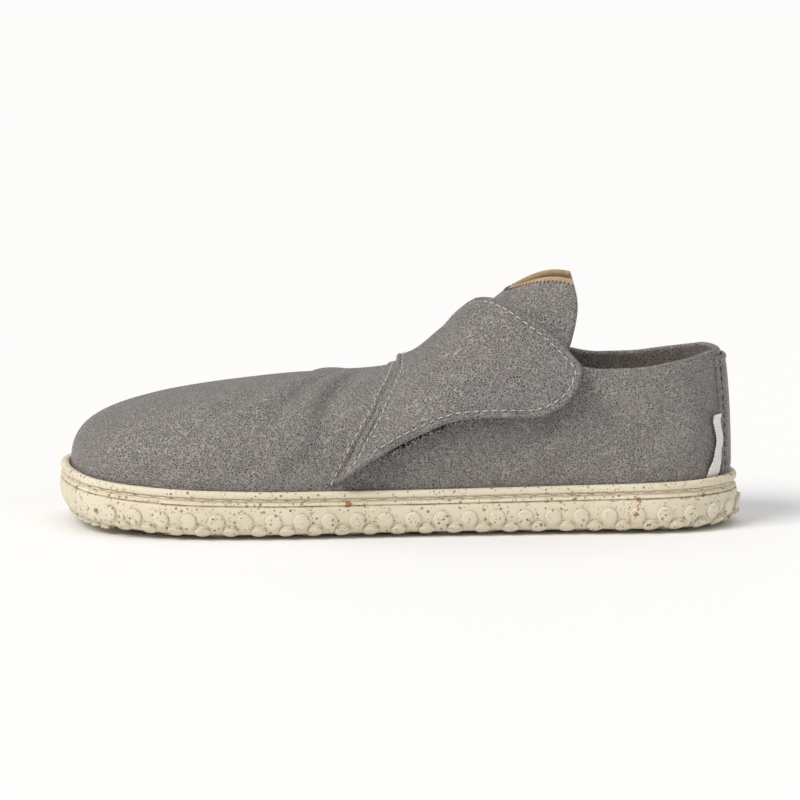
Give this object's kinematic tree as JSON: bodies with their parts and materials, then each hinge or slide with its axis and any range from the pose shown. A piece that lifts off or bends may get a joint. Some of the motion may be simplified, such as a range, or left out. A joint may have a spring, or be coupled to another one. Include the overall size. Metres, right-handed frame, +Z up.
{
  "type": "barefoot shoe",
  "caption": "Child's left barefoot shoe: low grey leather-look upper with a wide wave-edged wrap strap over a tongue, on a thin flexible cream cup sole with round side lugs.",
  "frame": {"origin": "on the floor under the middle of the shoe's box, the shoe standing on its tread", "axes": "+Z up, -X from heel to toe, -Y towards the outer side of the foot"},
  "size_m": [0.2013, 0.083, 0.074],
  "materials": {
    "outsole_rubber": "moulded cream rubber with brown and grey specks, satin",
    "insole_textile": "tan woven textile",
    "upper_leather": "grey pebbled microfibre leather, matte satin",
    "tongue_leather": "grey pebbled microfibre leather with a tan woven lining",
    "strap_leather": "grey pebbled microfibre leather, stitched along its edges",
    "closure_pile": "black looped pile",
    "closure_hooks": "black hooks",
    "heel_strip_leather": "grey pebbled microfibre leather",
    "label_ribbon": "white woven ribbon, bare"
  },
  "bodies": {
    "root": {"outsole": "outsole_rubber", "insole": "insole_textile", "upper": "upper_leather", "tongue": "tongue_leather", "strap": "strap_leather", "closure_loop_patch": "closure_pile", "closure_hook_patch": "closure_hooks", "heel_strip": "heel_strip_leather", "heel_label": "label_ribbon"}
  },
  "joints": []
}
